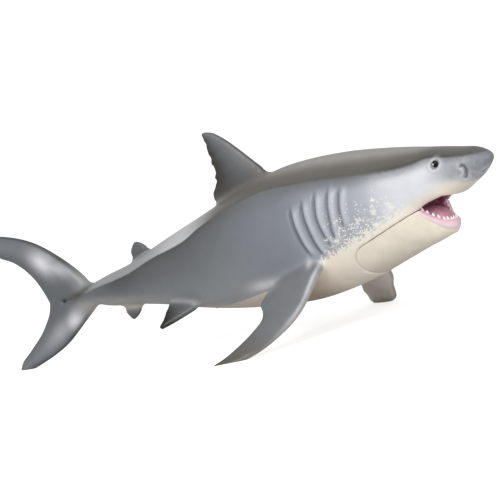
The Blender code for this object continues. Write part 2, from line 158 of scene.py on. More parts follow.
TAIL_TOP = (
    [(-68, 0, 0.2), (-73.3, 0, 7.8), (-79.4, 0, 14.3), (-85.9, 0, 19.8), (-92.7, 0, 23.6),
     (-100.1, 0, 26.3), (-106.5, 0, 27.5), (-111, 0, 28)],
    [(-88.4, 0, -0.8), (-89.5, 0, 3.6), (-91.4, 0, 8.5), (-94.4, 0, 12.9), (-98.2, 0, 16.5),
     (-102.9, 0, 19.2), (-107, 0, 22.9), (-110.8, 0, 27.2)],
    (6.4, 4.8, 3.6, 2.8, 1.6))
TAIL_LOW = (
    [(-67.5, 0, -5), (-73.6, 0, -7.9), (-79.8, 0, -11.3), (-86.2, 0, -14.6), (-92.7, 0, -16.8),
     (-99.1, 0, -18.3), (-104.9, 0, -19.3), (-108.9, 0, -19.7)],
    [(-88.4, 0, 0.3), (-90.2, 0, -3.2), (-93.1, 0, -6.2), (-96.5, 0, -9.1), (-101.2, 0, -12),
     (-105, 0, -14.2), (-108, 0, -15.9), (-110, 0, -18.2)],
    (6.4, 4.8, 3.6, 2.8, 1.6))
PECTORAL = (
    [(36, 11, -11), (32.5, 18.5, -17.5), (29.6, 23, -22.8), (27.4, 27, -26.4), (23.8, 30.7, -29.5),
     (19.7, 36.4, -32.3), (15.7, 41.2, -33.9), (10.5, 43.8, -34.7), (4.9, 46.1, -34.2)],
    [(13.5, 9, -13.2), (9.3, 16.5, -19.1), (9, 20, -21.2), (11.5, 23.5, -23.4), (13.2, 28, -25.6),
     (11, 31.7, -28.1), (8.6, 36.5, -30.4), (5.9, 41, -32.3), (3.9, 45.7, -33.5)],
    (6.8, 4.6, 3.8, 2.8, 1.7))
PELVIC = (
    [(-19.5, 3.5, -13.5), (-23.8, 8, -15.9), (-28.9, 12, -17.6), (-32.6, 14.6, -18.6),
     (-34.6, 15.6, -19)],
    [(-36.5, 3, -9.5), (-35.6, 6.5, -12), (-34.9, 10, -14), (-34.6, 13.3, -16.2),
     (-35.6, 15.4, -18.2)],
    (3.4, 2.5, 1.2))

# Reach of the fillets where the fins grow out of the trunk
FILLET = 2.2
FILLETS = {"pectoral": 4, "dorsal": 3.2, "tail_top": 3.4, "tail_low": 3.4}

# Heights and depths pressed into the skin
GILL_DEPTH = 0.85
GILL_SWELL = 0.42
BACK_EDGE = 0.35
BACK_EDGE_MORE = 0.4             # added behind the dorsal fin
NOSTRIL_DEPTH = 0.5
NOSTRIL_RIM = 0.08
EYE_DEPTH = 0.45
EYE_RIM = 0.32
BELLY_DEPTH = 0.22
GUM_SWELL = 0.28

# Teeth: the upper arch's half angle in degrees, then its half length and half width, number and height
UPPER_SWEEP = 60
UPPER_TEETH = (12.6, 8.3, 16, 0.7)
UPPER_WIDTH = 0.9
LOWER_START = 69.6               # rear end of the lower row
LOWER_INSET = 0.9                # from the jaw's skin at its rim
LOWER_TEETH = (16, 1.15)         # number and height
LOWER_WIDTH = 1.1

# Lines on the skin, x and z in the shark's own frame
GILLS = [
    [(28.3, 5.4), (28.3, 0.6), (28.8, -3.9), (29.5, -8), (30.6, -12.2)],
    [(32.9, 6.2), (32.6, 1.6), (33, -3), (33.7, -8.9), (34.9, -13.6)],
    [(38.1, 7.4), (37.3, 2.2), (37.1, -2.3), (37.9, -7.7), (39, -11.5)],
    [(43, 7.4), (42, 2.2), (41.5, -2.5), (40.9, -7.7), (41.6, -10.5)],
    [(47.3, 6.4), (46, 1.1), (45.4, -3.5), (45.3, -7)],
]
BACK_LINE = [(-110, 6), (-70, -0.4), (-65.4, 0), (-48.9, 1), (-36, 3.4), (-20.2, 5.3),
             (-11.7, 8), (-1.8, 10.3), (8.5, 11.7), (18.1, 12.3), (25.3, 11.8), (38.2, 10.3), (51, 8.1),
             (60.6, 6.5), (67.5, 5.6), (72.6, 5.5), (75.9, 5.9), (80.6, 4.7), (87, 3.2), (94.6, 2)]
CREAM_LINE = [(-81, -4), (-60, -7.4), (-45, -11), (-30, -15), (-12.5, -18.5), (1.6, -18.1),
              (11.9, -17.6), (20, -17), (28, -15.5), (36.7, -12.6), (48.9, -10.6), (56, -8.9),
              (64.1, -6.7), (73.7, -4.3), (80, -3.4), (86, -4.6), (94.6, -8)]
BELLY_LINE = [(-14, -18.6), (1.6, -18.1), (12.5, -17.5)]
NOSTRIL = [(86.7, 0.2), (87.1, 0.4), (87.6, -0.1), (87.8, -0.9), (87.6, -2), (87, -2.9), (86.4, -3.4)]
EYE_X = 79.1
EYE_Z = 3.15
EYE_SIZE = (1.02, 0.7, 1.18)
NOSTRIL_X = 84.0                 # the nostrils lie ahead of this
HEAD_BACK = 38.0                 # the mouth's inner walls lie ahead of this

# Soft patches of painted highlight in side view: centre x and z, turn in degrees, half length, half width,
# strength
TAIL_HIGHLIGHTS = [(-85, 13.3, 140, 5.6, 3.2, 0.95), (-80.4, 10.4, 151, 6.5, 2.2, 0.6),
               (-78.9, -8, 28, 4.6, 2.5, 0.95), (-86.2, -10.3, 22, 8, 2.8, 0.42)]
FLANK_HIGHLIGHTS = [(7.8, -15.8, 0, 6.2, 1.9, 0.8), (29.6, -13.2, 0, 1.1, 1.4, 0.5)]

# Painted shade, in brown, above the keel at the tail root: x and z where it ends, slope, half width,
# strength
KEEL_SHADE = (-68, 0.9, 0.21, 1.2, 0.8)

# Splashes of cream paint on the cheek: x, z, radius
SPLASHES = [(62.4, -4.7, 1.25), (61.6, -3.2, 0.6), (56.6, -4.5, 1.1), (56.9, -2.6, 0.55), (56.2, -8.6, 1.2),
            (54.8, -6.7, 0.8), (50.9, -5.6, 1), (49.7, -6.9, 0.7), (42.1, -9.2, 1.3), (45.5, -7.5, 0.5),
            (38.2, -8.1, 0.75), (39.6, -10.4, 0.6), (50.9, 2.6, 0.45), (52.3, -0.9, 0.5), (57.5, -0.9, 0.7),
            (62, -1.4, 0.5), (65.9, -5.2, 0.5), (60.3, -9, 1.1), (65.4, -8.4, 0.7), (48.2, -7.1, 0.6),
            (47.4, -10.4, 1), (52.4, -9.6, 1.2), (57.8, -6.6, 0.6), (46.3, -12.4, 1.2), (42.8, -13.6, 1.3)]


def columns(rows, x):
    """Smooth values of every column of a table at each x."""
    xs = rows[:, 0]
    slope = np.empty_like(rows)
    slope[1:-1] = (rows[2:] - rows[:-2]) / (xs[2:] - xs[:-2])[:, None]
    slope[0] = (rows[1] - rows[0]) / (xs[1] - xs[0])
    slope[-1] = (rows[-1] - rows[-2]) / (xs[-1] - xs[-2])
    i = np.clip(np.searchsorted(xs, x) - 1, 0, len(xs) - 2)
    run = (xs[i + 1] - xs[i])[:, None]
    t = (np.asarray(x) - xs[i])[:, None] / run
    value = ((2 * t**3 - 3 * t**2 + 1) * rows[i] + (t**3 - 2 * t**2 + t) * run * slope[i]
             + (3 * t**2 - 2 * t**3) * rows[i + 1] + (t**3 - t**2) * run * slope[i + 1])
    return value[:, 1:].T


def read_line(points, x):
    """Smooth height of a line on the skin at each x."""
    rows = np.array(points, float)
    return columns(rows, np.clip(x, rows[0, 0], rows[-1, 0]))[0]


def along(points, t):
    """Smooth points on an edge, t from 0 at its start to 1 at its end."""
    points = np.array(points, float)
    n = len(points) - 1
    i = np.minimum((t * n).astype(int), n - 1)
    u = (t * n - i)[:, None]
    a, b, c, d = (points[np.clip(i + k, 0, n)] for k in (-1, 0, 1, 2))
    return 0.5 * (2 * b + (c - a) * u + (2 * a - 5 * b + 4 * c - d) * u * u + (3 * b - a - 3 * c + d) * u**3)


def half_width(rows, x, z):
    """Half width of a lofted skin at x and height z."""
    top, bottom, mid, half, above, below = columns(rows, np.clip(x, rows[0, 0], rows[-1, 0]))
    reach = np.where(z > mid, top - mid, mid - bottom)
    power = np.where(z > mid, above, below)
    return half * np.maximum(0.0, 1 - np.minimum(np.abs(z - mid) / reach, 1) ** power) ** (1 / power)


def ramp(low, high, value):
    """Smooth step from 0 at the first value to 1 at the second, which may be the lower one."""
    t = np.clip((value - low) / (high - low), 0, 1)
    return t * t * (3 - 2 * t)


def bell(value, middle, width):
    """Smooth hump of height 1 around a middle value."""
    return np.exp(-((value - middle) / width) ** 2)


def skin(rings):
    """Closed shell through rings of equal count."""
    rings = np.asarray(rings, float)
    n, count = rings.shape[:2]
    grid = np.arange(n * count).reshape(n, count)
    turned = np.roll(grid, -1, axis=1)
    quads = np.stack([grid[:-1], turned[:-1], turned[1:], grid[1:]], axis=-1).reshape(-1, 4)
    return rings.reshape(-1, 3), [tuple(q) for q in quads.tolist()] + [tuple(grid[0, ::-1]), tuple(grid[-1])]


def loft(rows, close, steps, count):
    """Rounded sections through the rows, closed to a blunt end."""
    first, end = rows[0, 0], rows[-1, 0]
    x = first + (end - 0.03 - first) * (1 - (1 - np.linspace(0, 1, steps + 1)) ** 1.5)
    top, bottom, mid, half, above, below = columns(rows, x)[:, :, None]
    shrink = np.sqrt(1 - np.maximum(0, (x - end + close) / close) ** 2)[:, None]
    a = 2 * np.pi * (np.arange(count) + 0.5) / count
    c, s = np.cos(a)[None], np.sin(a)[None]
    power = np.where(s > 0, above, below)
    reach = np.where(s > 0, top - mid, mid - bottom)
    y = shrink * half * np.sign(c) * np.abs(c) ** (2 / power)
    z = mid + shrink * reach * np.sign(s) * np.abs(s) ** (2 / power)
    return skin(np.stack([np.broadcast_to(x[:, None], y.shape), y, z], axis=-1))


def fin_rings(lead, trail, thick, steps, half_count, ragged=0.0, waves=0.0):
    """Blade between two edges, fullest behind its leading edge, with an uneven trailing edge."""
    s = np.linspace(0, 1, steps + 1)
    front, back = along(lead, s), along(trail, s)
    low, high = np.maximum(s - 0.03, 0), np.minimum(s + 0.03, 1)
    span = along(lead, high) + along(trail, high) - along(lead, low) - along(trail, low)
    chord = front - back
    normal = np.cross(chord, span)
    normal /= np.linalg.norm(normal, axis=1)[:, None]
    wave = np.sin(waves * s * 2 * np.pi)
    shorter_wave = np.sin(waves * 1.7 * s * 2 * np.pi + 1.0)
    uneven = (wave + 0.6 * shorter_wave) * np.sin(np.pi * s)
    back = back + chord * (ragged * uneven / np.linalg.norm(chord, axis=1))[:, None]
    chord = front - back
    half = along([(v,) for v in thick], s)[:, 0] / 2
    a = 2 * np.pi * (np.arange(2 * half_count) + 0.5) / (2 * half_count)
    c = (1 + np.cos(a)) / 2
    h = np.sin(a) * (0.66 + 0.54 * c)
    middle = back[:, None] + chord[:, None] * c[None, :, None]
    return middle + (half[:, None] * h[None])[:, :, None] * normal[:, None]


def mirror(rings):
    return rings * np.array([1.0, -1.0, 1.0])


def prism(outline, half):
    """Side-view outline carried across from -half to half."""
    return skin([[(x, -half, z) for x, z in outline], [(x, half, z) for x, z in outline]])


def rod(x, z, radius, half, count=40):
    ring = [(x + radius * math.cos(2 * math.pi * i / count), z + radius * math.sin(2 * math.pi * i / count))
            for i in range(count)]
    return prism(ring, half)


def ball(centre, size, rows=24, count=48):
    b = np.pi * np.arange(1, rows) / rows
    a = 2 * np.pi * np.arange(count) / count
    shape = np.stack([np.sin(b)[:, None] * np.cos(a), np.sin(b)[:, None] * np.sin(a),
                      np.repeat(-np.cos(b)[:, None], count, axis=1)], axis=-1)
    return skin(np.array(centre) + shape * np.array(size))


def outward(shape):
    """The shell with its faces turned outward, by the sign of its volume."""
    verts, faces = shape
    volume = 0.0
    for face in faces:
        points = verts[list(face)]
        volume += np.cross(points[1:-1], points[2:]).dot(points[0]).sum()
    return verts, [face[::-1] for face in faces] if volume < 0 else faces


def several(shapes):
    verts, faces = [], []
    base = 0
    for shape in shapes:
        v, f = outward(shape)
        verts.append(v)
        faces += [tuple(k + base for k in face) for face in f]
        base += len(v)
    return np.concatenate(verts), faces


def mesh_object(name, shape):
    verts, faces = shape
    mesh = bpy.data.meshes.new(name)
    mesh.from_pydata(verts.tolist(), [], faces)
    mesh.update()
    obj = bpy.data.objects.new(name, mesh)
    bpy.context.scene.collection.objects.link(obj)
    return obj


def modified(shape, kind, *others, **settings):
    """Shape after one modifier of Blender's; the other shape, if given, is the Boolean's tool."""
    obj = mesh_object("work", shape)
    modifier = obj.modifiers.new("step", kind)
    tools = [mesh_object("tool", other) for other in others]
    if tools:
        modifier.object = tools[0]
    for key, value in settings.items():
        setattr(modifier, key, value)
    graph = bpy.context.evaluated_depsgraph_get()
    result = bpy.data.meshes.new_from_object(obj.evaluated_get(graph))
    verts = np.empty(len(result.vertices) * 3)
    result.vertices.foreach_get("co", verts)
    made = verts.reshape(-1, 3), [tuple(p.vertices) for p in result.polygons]
    bpy.data.meshes.remove(result)
    for used in [obj] + tools:
        mesh = used.data
        bpy.data.objects.remove(used)
        bpy.data.meshes.remove(mesh)
    return made


def cut(shape, tool, operation='DIFFERENCE'):
    return modified(shape, 'BOOLEAN', several([tool]), operation=operation, solver='MANIFOLD')


def remesh(shape, voxel):
    return modified(shape, 'REMESH', mode='VOXEL', voxel_size=voxel, adaptivity=0.0)


def edges_of(faces):
    pairs = [(f[i - 1], f[i]) for f in faces for i in range(len(f))]
    pairs = np.sort(np.array(pairs), axis=1)
    return np.unique(pairs, axis=0)


def relax(verts, edges, weight, rounds):
    """Moves each vertex towards the middle of its neighbours."""
    a, b = edges.T
    n = len(verts)
    count = np.maximum(np.bincount(a, minlength=n) + np.bincount(b, minlength=n), 1)
    verts = verts.copy()
    for _ in range(rounds):
        for k in range(3):
            line = verts[:, k]
            total = np.bincount(a, line[b], n) + np.bincount(b, line[a], n)
            verts[:, k] = line + weight * (total / count - line)
    return verts


def soften_mouth(verts, edges, away, near, rounds):
    """Rounds the mouth's edge ahead of its corner, then evens the whole skin a little."""
    share = (1 - ramp(near, near + 1.2, away)) * ramp(CORNER_X - 1, CORNER_X + 1, verts[:, 0])
    verts = relax(verts, edges, 0.5 * share, rounds)
    return relax(verts, edges, np.full(len(verts), 0.4), 2)


def normals(verts, faces):
    """Vertex normals, weighted by area."""
    quads = np.array([f if len(f) == 4 else (*f[:3], f[0]) for f in faces])
    across = np.cross(verts[quads[:, 2]] - verts[quads[:, 0]], verts[quads[:, 3]] - verts[quads[:, 1]])
    three = quads[:, 3] == quads[:, 0]
    first, second, third = (verts[quads[three, k]] for k in range(3))
    across[three] = np.cross(second - first, third - first)
    total = np.zeros_like(verts)
    for k in range(3):
        for corner in range(4):
            total[:, k] += np.bincount(quads[:, corner], across[:, k], len(verts))
    return total / np.maximum(np.linalg.norm(total, axis=1), 1e-12)[:, None]


def nearest(shape, points, reach):
    """Distance to a shell, and the face there, for each point; far points get the reach and -1."""
    tree = BVHTree.FromPolygons(shape[0].tolist(), shape[1])
    low, high = shape[0].min(0) - reach, shape[0].max(0) + reach
    near = np.flatnonzero(np.all((points > low) & (points < high), axis=1))
    distance = np.full(len(points), float(reach))
    face = np.full(len(points), -1)
    for i in near:
        _, _, index, length = tree.find_nearest(points[i], reach)
        if index is not None:
            distance[i] = length
            face[i] = index
    return distance, face


def seam(grow, front):
    """Side outline of the jaw, grown by the clearance: round heel, straight seam, given mouth line."""
    run = (CORNER_X - HINGE_X, CORNER_Z - HINGE_Z)
    reach = math.hypot(*run)
    start = math.atan2(run[1], run[0]) + math.acos(HEEL_R / reach)
    radius = HEEL_R + grow
    outline = []
    for i in range(49):
        a = start + math.radians(150) * (1 - i / 48)
        outline.append((HINGE_X + radius * math.cos(a), HINGE_Z + radius * math.sin(a)))
    outline.append((CORNER_X + math.cos(start) * grow, CORNER_Z + math.sin(start) * grow))
    outline += front
    outline.append((front[-1][0] + 2, -30.0))
    outline.append((outline[0][0], -30.0))
    return outline


def stand(points):
    """From the shark's own frame in millimetres to the standing pose in metres."""
    c, s = math.cos(NOSE_UP), math.sin(NOSE_UP)
    x, y, z = np.asarray(points, float).T
    return np.stack([x * c - z * s - MIDDLE, y, x * s + z * c + LIFT], axis=1) * MM


# Body: shells of the trunk and the fins
VOXEL = 0.34
trunk = loft(TRUNK, NOSE_ROUND, 220, 160)
FINS = {
    "dorsal": [fin_rings(*DORSAL, 90, 28, 0.32, 6.5)],
    "second": [fin_rings(*SECOND, 40, 18, 0.1, 3)],
    "anal": [fin_rings(*ANAL, 40, 18, 0.1, 3)],
    "tail_top": [fin_rings(*TAIL_TOP, 90, 28)],
    "tail_low": [fin_rings(*TAIL_LOW, 90, 28)],
    "pectoral": [fin_rings(*PECTORAL, 90, 28)],
    "pelvic": [fin_rings(*PELVIC, 50, 18, 0.1, 3)],
}
for name in ("pectoral", "pelvic"):
    FINS[name].append(mirror(FINS[name][0]))

mouth_cut = [(CORNER_X - 1.2, CORNER_Z - 0.6)] + LIP + LIP_END
head = cut(trunk, prism(mouth_cut, WIDE))
head = cut(head, ball(PALATE, PALATE_SIZE))
shells = [head] + [skin(rings) for group in FINS.values() for rings in group]
verts, faces = remesh(several(shells), VOXEL)
edges = edges_of(faces)

# Fillets where the fins grow out of the trunk
to_trunk, _ = nearest(trunk, verts, 6.0)
fillet = np.zeros(len(verts))
for name, group in FINS.items():
    reach = FILLETS.get(name, FILLET)
    for rings in group:
        to_fin, _ = nearest(skin(rings), verts, reach)
        fillet = np.maximum(fillet, 1 - ramp(0.35, 1.0, np.maximum(to_fin, to_trunk) / reach))
verts = relax(verts, edges, 0.5 * fillet, 60)
lip_line = [(CORNER_X, CORNER_Z)] + LIP
off_lip = np.abs(verts[:, 2] - read_line(lip_line, verts[:, 0]))
verts = soften_mouth(verts, edges, off_lip, 0.3, 6)


def gill_marks(verts):
    """Depth of the five gill grooves, and the swell ahead of each, from 0 to 1."""
    x, y, z = verts.T
    groove = np.zeros(len(verts))
    swell = np.zeros(len(verts))
    for path in GILLS:
        path = np.array(path)[::-1]
        low, high = path[0, 1], path[-1, 1]
        middle = columns(path[:, [1, 0]], np.clip(z, low, high))[0]
        ends = ramp(low - 0.5, low + 3.0, z) * (1 - ramp(high - 3.5, high + 0.5, z))
        groove = np.maximum(groove, bell(x, middle, 0.62) * ends)
        swell = np.maximum(swell, bell(x - middle, 1.9, 0.95) * ends)
    on_side = ramp(2.0, 4.0, np.abs(y))
    return groove * on_side, swell * on_side


def back_height(verts, normal):
    """Distance along the skin above the edge of the dark back."""
    rise = verts[:, 2] - read_line(BACK_LINE, verts[:, 0])
    return rise / np.sqrt(1.05 - normal[:, 2] ** 2)


def from_path(x, z, path):
    """Distance in side view to a line of points."""
    best = np.full(len(x), 1e9)
    for (x0, z0), (x1, z1) in zip(path, path[1:]):
        run, rise = x1 - x0, z1 - z0
        t = np.clip(((x - x0) * run + (z - z0) * rise) / (run * run + rise * rise), 0, 1)
        best = np.minimum(best, np.hypot(x - x0 - t * run, z - z0 - t * rise))
    return best


# Grooves, swells, back edge, nostrils and eye sockets pressed into the skin
normal = normals(verts, faces)
x, y, z = verts.T
near_skin = to_trunk < 1.5
groove, swell = gill_marks(verts)
depth = (GILL_SWELL * swell - GILL_DEPTH * groove) * near_skin
above = back_height(verts, normal)
crease = ramp(-72, -58, x) * (1 - ramp(84, 92, x)) * (to_trunk < 1.0) * (np.abs(above) < 8)
edge_height = BACK_EDGE + BACK_EDGE_MORE * (1 - ramp(-20, 20, x))
depth += edge_height * (np.exp(-np.abs(above - 0.25) / np.where(above > 0.25, 3.0, 1.3)) - 0.07) * crease
outside = (np.abs(y) > 3.5) & near_skin
slit = from_path(x, z, NOSTRIL)
nostril = NOSTRIL_RIM * bell(slit, 0.95, 0.4) - NOSTRIL_DEPTH * bell(slit, 0, 0.36)
depth += nostril * outside * (x > NOSTRIL_X)
eye = np.hypot(x - EYE_X, z - EYE_Z)
depth += (EYE_RIM * bell(eye, 1.75, 0.55) - EYE_DEPTH * bell(eye, 0, 1.15)) * outside
depth -= BELLY_DEPTH * bell(from_path(x, z, BELLY_LINE), 0, 0.4) * near_skin
verts = verts + normal * depth[:, None]
body_shape = (verts, faces)

# Room for the jaw and the throat core with its bosses
room_front = [(x0, z0 - LIP_ROOM) for x0, z0 in LIP]
body_shape = cut(body_shape, prism(seam(GAP, room_front), WIDE))
back = HEEL_R + 1.5
core = [(HINGE_X - back, HINGE_Z - CORE_BOTTOM + back * math.tan(JAW_OPEN)),
        (HINGE_X - 0.4, HINGE_Z - CORE_BOTTOM),
        (HINGE_X + CORE_FRONT, HINGE_Z - CORE_BOTTOM + CORE_FRONT * CORE_RISE),
        (HINGE_X + CORE_FRONT, CORE_TOP), (HINGE_X - back, CORE_TOP)]
body_shape = cut(body_shape, prism(core, CORE_HALF), 'UNION')
body_shape = cut(body_shape, rod(HINGE_X, HINGE_Z, BOSS_R, CORE_HALF + BOSS_LONG), 'UNION')
body_shape = modified(body_shape, 'DECIMATE', ratio=min(1.0, BODY_TRIANGLES / (2 * len(body_shape[1]))))


def rim_side(x):
    """Half width of the jaw's skin at its rim."""
    end = JAW[-1, 0]
    shrink = np.sqrt(np.maximum(0.01, 1 - np.maximum(0.0, (x - end + CHIN_ROUND) / CHIN_ROUND) ** 2))
    mid = columns(JAW, x)[2]
    return shrink * half_width(JAW, x, mid + (height_on(RIM, x) - mid) / shrink)


def height_on(line, x):
    """Height at x of a line that starts at the mouth corner."""
    points = np.array([(CORNER_X, CORNER_Z)] + line)
    return np.interp(x, points[:, 0], points[:, 1])


def underside(rows, x, y):
    """Height of the skin's lower side at x and y."""
    top, bottom, mid, half, above, below = columns(rows, x)
    return mid - (mid - bottom) * np.maximum(0.0, 1 - (np.abs(y) / half) ** below) ** (1 / below)


def rim_row(count):
    """Points at equal steps around the jaw's rim, set in from the skin, with their outward directions."""
    x = np.arange(LOWER_START, JAW[-1, 0], 0.05)
    y = rim_side(x)
    x, y = x[y > 0], y[y > 0]
    line = np.concatenate([np.stack([x, y], 1), np.stack([x, -y], 1)[::-1]])
    step = line[1:] - line[:-1]
    walked = np.concatenate([[0.0], np.cumsum(np.hypot(*step.T))])
    row = []
    for distance in np.linspace(0, walked[-1], count):
        i = min(np.searchsorted(walked, distance, side="right") - 1, len(step) - 1)
        out = np.array([-step[i, 1], step[i, 0]]) / np.hypot(*step[i])
        point = line[i] + step[i] * (distance - walked[i]) / max(walked[i + 1] - walked[i], 1e-9)
        row.append((point - LOWER_INSET * out, out))
    return row


# Lower jaw: outer shell, hollow, raised gum band, then the crisp seam outline
jaw = loft(JAW, CHIN_ROUND, 160, 140)
slot_front = HINGE_X + CORE_FRONT + SLOT_FRONT
basin_back = slot_front - 0.2
basin_middle = basin_back + BASIN_STRAIGHT
basin = []
for z0, half, front in BASIN:
    ring = [(basin_back, -half, z0)]
    ring += [(basin_middle + (front - basin_middle) * math.cos(a), half * math.sin(a), z0)
             for a in np.linspace(-np.pi / 2, np.pi / 2, 33)]
    ring.append((basin_back, half, z0))
    basin.append(ring)
basin = skin(basin)
rim_line = [(CORNER_X, CORNER_Z)] + RIM
front_cut = [(CORNER_X - 2, CORNER_Z + 1.6)] + rim_line + RIM_END + [(CORNER_X - 2, RIM_END[-1][1])]
jaw = cut(jaw, prism(front_cut, WIDE))
jaw = cut(jaw, basin)
jaw_verts, jaw_faces = remesh(several([jaw]), 0.28)
jaw_edges = edges_of(jaw_faces)
off_rim = np.abs(jaw_verts[:, 2] - height_on(RIM, jaw_verts[:, 0]))
jaw_verts = soften_mouth(jaw_verts, jaw_edges, off_rim, 0.4, 8)


def gum_band(verts):
    """Share of the gum band's depth below the rim: under 1 within the band."""
    x, y, z = verts.T
    drop = height_on(RIM, x) - z
    drop = np.where(x > 74.5, np.minimum(drop, 1.2 + (-z - 15.2) * 0.9), drop)
    return drop / (1.5 + 1.2 * ramp(68.5, 74.0, x))


jaw_normal = normals(jaw_verts, jaw_faces)
to_basin, _ = nearest(basin, jaw_verts, 1.0)
band = gum_band(jaw_verts)
swell = ramp(-0.5, 0.1, band) * (1 - ramp(0.75, 1.15, band))
swell *= ramp(CORNER_X - 1.5, CORNER_X + 1.5, jaw_verts[:, 0])
jaw_verts = jaw_verts + jaw_normal * (GUM_SWELL * swell * (to_basin > 0.6))[:, None]
keep = prism(seam(0.0, [(CORNER_X + 4, CORNER_Z + 2.3), (86.0, CORNER_Z + 2.3)]), WIDE)
jaw_shape = cut((jaw_verts, jaw_faces), keep, 'INTERSECT')
slot = [(HINGE_X - 12, HINGE_Z - HEEL_FLOOR), (HINGE_X, HINGE_Z - HEEL_FLOOR),
        (slot_front, HINGE_Z - HEEL_FLOOR + (slot_front - HINGE_X) * CORE_RISE),
        (slot_front, 0.0), (HINGE_X - 12, 0.0)]
jaw_shape = cut(jaw_shape, prism(slot, CORE_HALF + GAP))
jaw_shape = cut(jaw_shape, rod(HINGE_X, HINGE_Z, BOSS_R + GAP, CORE_HALF + BOSS_LONG + GAP))


def tooth(spot, out, height, width, lean):
    """Curved pointed tooth from a rounded base; a height below zero points down."""
    out = np.array([out[0], out[1], 0.0])
    across = np.array([-out[1], out[0], 0.0])
    up = np.array([0.0, 0.0, 1.0])
    a = 2 * np.pi * (np.arange(14) + 0.5) / 14
    rings = []
    for t in (-0.35, 0.0, 0.2, 0.42, 0.64, 0.82, 0.94, 1.0):
        size = (1.0 if t < 0 else (1 - t**1.5)) * width / 2 + 0.03
        bend = lean * max(t, 0.0) ** 1.8
        middle = np.array(spot) + up * t * height + out * bend
        rings.append(middle + np.outer(np.cos(a) * size, across) + np.outer(np.sin(a) * size * 0.72, out))
    return skin(rings)


def upper_teeth():
    """Row inside the upper lip, pointing down."""
    half_length, half_wide, count, height = UPPER_TEETH
    row = []
    for i in range(count):
        turn = math.radians(UPPER_SWEEP) * (2 * i / (count - 1) - 1)
        tx, ty = PALATE[0] + half_length * math.cos(turn), half_wide * math.sin(turn)
        low = max(height_on(LIP, tx), underside(TRUNK, np.array([tx]), np.array([ty]))[0])
        vary = 0.9 + 0.2 * math.sin(2.4 * abs(i - (count - 1) / 2))
        out = (math.cos(turn), math.sin(turn))
        row.append(tooth((tx, ty, low + 0.6), out, -height * vary, UPPER_WIDTH, -0.3))
    return several(row)


def lower_teeth():
    """Row around the jaw's rim, longest at the front."""
    count, height = LOWER_TEETH
    row = []
    for i, (spot, out) in enumerate(rim_row(count)):
        outer = abs(2 * i / (count - 1) - 1)
        vary = 1.2 - 0.35 * outer + 0.1 * math.sin(2.9 * abs(i - (count - 1) / 2))
        base = height_on(RIM, spot[0]) + 0.05
        row.append(tooth((spot[0], spot[1], base), out, height * vary, LOWER_WIDTH, 0.1))
    return several(row)


def tongue():
    """Rounded pad that falls away to its tip, with a furrow along the middle of its top."""
    verts, faces = ball(TONGUE, TONGUE_SIZE, 40, 80)
    ahead = verts[:, 0] - TONGUE[0]
    verts[:, 2] -= 0.021 * np.maximum(ahead, 0) ** 2
    verts[:, 2] -= 0.35 * bell(verts[:, 1], 0, 0.7) * (verts[:, 2] > TONGUE[2])
    return verts, faces


def eyes():
    """A bead in each socket."""
    out = half_width(TRUNK, np.array([EYE_X]), np.array([EYE_Z]))[0] - 0.3
    return several([ball((EYE_X, hand * out, EYE_Z), EYE_SIZE, 24, 40) for hand in (1, -1)])


# Paints, as seen values from 0 to 255
def paint(red, green, blue):
    value = np.array([red, green, blue]) / 255
    return np.where(value > 0.04045, ((value + 0.055) / 1.055) ** 2.4, value / 12.92)


GREY = paint(114, 118, 122)
GREY_DEEP = paint(72, 74, 73)
GREY_LOW = paint(166, 170, 175)
BLUE_GREY = paint(131, 136, 144)
GILL_GREY = paint(172, 176, 185)
CHEEK = paint(229, 231, 237)
SNOUT = paint(136, 140, 146)
SNOUT_LOW = paint(190, 194, 202)
OLIVE = paint(104, 101, 95)
OLIVE_DARK = paint(62, 58, 48)
# Painted highlight on the head's top
HEAD_TOP_HIGHLIGHT = paint(160, 157, 152)
SILVER = paint(156, 157, 158)
# Painted highlight on the back behind the dorsal fin
BACK_HIGHLIGHT = paint(204, 204, 206)
WARM_LOW = paint(178, 173, 166)
FIN = paint(99, 102, 105)
FIN_BROWN = paint(50, 44, 37)
FIN_WARM = paint(244, 234, 224)
NEAR_FIN = paint(118, 121, 125)
TAIL = paint(100, 104, 108)
PALE_AND_HIGHLIGHT = paint(232, 231, 236)
INK = paint(20, 19, 18)
BROWN = paint(76, 68, 60)
CREAM = paint(250, 240, 224)
TAN = paint(196, 178, 158)
# Paint for painted highlights and pale rings
SPECK = paint(246, 244, 234)
MAUVE = paint(228, 166, 190)
GUM = paint(250, 224, 230)
GUM_ROSE = paint(244, 200, 214)
DORSAL_FRONT = paint(132, 131, 129)
FIN_END = paint(98, 93, 87)
# Painted highlight along the middle of the tail's lobes
TAIL_MIDDLE_HIGHLIGHT = paint(126, 132, 137)
MOTTLE = paint(104, 107, 110)
# Painted highlight on the gill swells, then painted shade in the gill grooves
GILL_HIGHLIGHT = paint(205, 211, 219)
GILL_SHADE = paint(88, 93, 101)
MAUVE_DEEP = paint(170, 106, 130)
CREAM_DEEP = paint(245, 235, 217)
TOOTH = paint(255, 253, 248)
TOOTH_DEEP = paint(250, 247, 240)
TONGUE_ROSE = paint(220, 162, 184)
TONGUE_DEEP = paint(206, 144, 168)
BEAD = paint(5, 5, 6)
BEAD_LIGHT = paint(14, 12, 12)
# Painted highlight on the eye
EYE_HIGHLIGHT = paint(232, 232, 236)

# Flank paints from the middle to the nose: where each starts and is full along x, then below the back's edge
FLANK_PAINTS = [(BLUE_GREY, 0.8, (-10, 22), (0, 7)), (GILL_GREY, 1.0, (20, 48), (0, 6)),
                (CHEEK, 1.0, (50, 66), (-0.5, 4.0))]

